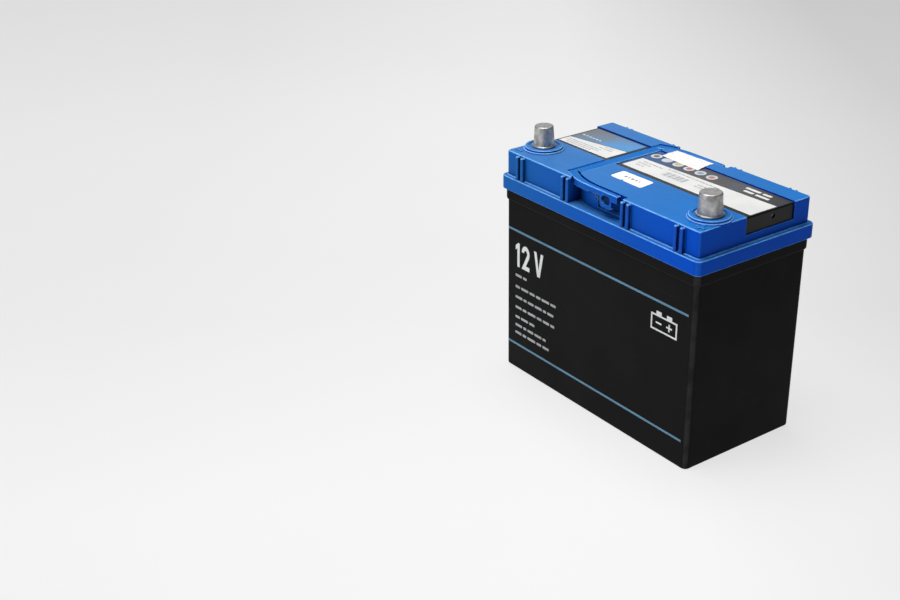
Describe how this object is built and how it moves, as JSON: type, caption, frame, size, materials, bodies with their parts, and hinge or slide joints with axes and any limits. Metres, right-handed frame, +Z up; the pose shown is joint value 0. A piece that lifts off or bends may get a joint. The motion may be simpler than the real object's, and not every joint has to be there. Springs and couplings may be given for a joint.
{
  "type": "starter battery",
  "caption": "Box-shaped valve-regulated lead-acid starter battery with glass-mat cells, a ribbed overhanging lid, tapered lead posts and a bail handle folded into the lid.",
  "frame": {"origin": "underside of the case, in the middle of the lid's outline", "axes": "+X along the long side towards the positive post, -Y towards the front, the side that the posts are nearer to, +Z up"},
  "size_m": [0.238, 0.127, 0.225],
  "materials": {
    "case_plastic": "moulded black polypropylene, satin",
    "lid_plastic": "moulded blue polypropylene, satin",
    "handle_plastic": "moulded blue polypropylene, satin",
    "cover_plastic": "moulded blue polypropylene, satin",
    "label_film": "printed film, dark grey with a white band",
    "porous_disc": "sintered polyethylene",
    "post_lead": "bare cast lead",
    "weld_lead": "bare lead weld",
    "cap_rubber": "black rubber",
    "positive_paste": "lead dioxide paste on a lead grid",
    "negative_paste": "sponge lead on a lead grid",
    "glass_mat": "glass-fibre mat"
  },
  "bodies": {
    "battery": {"case": "case_plastic", "lid": "lid_plastic", "left_valve_cover": "cover_plastic", "left_label": "label_film", "left_flame_arrestor": "porous_disc", "right_valve_cover": "cover_plastic", "right_label": "label_film", "right_flame_arrestor": "porous_disc", "positive_post": "post_lead", "negative_post": "post_lead", "valve_cap_1": "cap_rubber", "valve_cap_2": "cap_rubber", "valve_cap_3": "cap_rubber", "valve_cap_4": "cap_rubber", "valve_cap_5": "cap_rubber", "valve_cap_6": "cap_rubber", "positive_plates_1": "positive_paste", "positive_plates_2": "positive_paste", "positive_plates_3": "positive_paste", "positive_plates_4": "positive_paste", "positive_plates_5": "positive_paste", "positive_plates_6": "positive_paste", "negative_plates_1": "negative_paste", "negative_plates_2": "negative_paste", "negative_plates_3": "negative_paste", "negative_plates_4": "negative_paste", "negative_plates_5": "negative_paste", "negative_plates_6": "negative_paste", "separator_1": "glass_mat", "separator_2": "glass_mat", "separator_3": "glass_mat", "separator_4": "glass_mat", "separator_5": "glass_mat", "separator_6": "glass_mat", "cell_weld_1": "weld_lead", "cell_weld_2": "weld_lead", "cell_weld_3": "weld_lead", "cell_weld_4": "weld_lead", "cell_weld_5": "weld_lead"},
    "handle": {"carry_handle": "handle_plastic"}
  },
  "joints": [
    {"name": "handle_hinge", "type": "hinge", "parent": "battery", "child": "handle", "pos_m": [0.0108, 0, 0.1972], "axis": [0, 1, 0], "range_deg": [0, 90]}
  ]
}
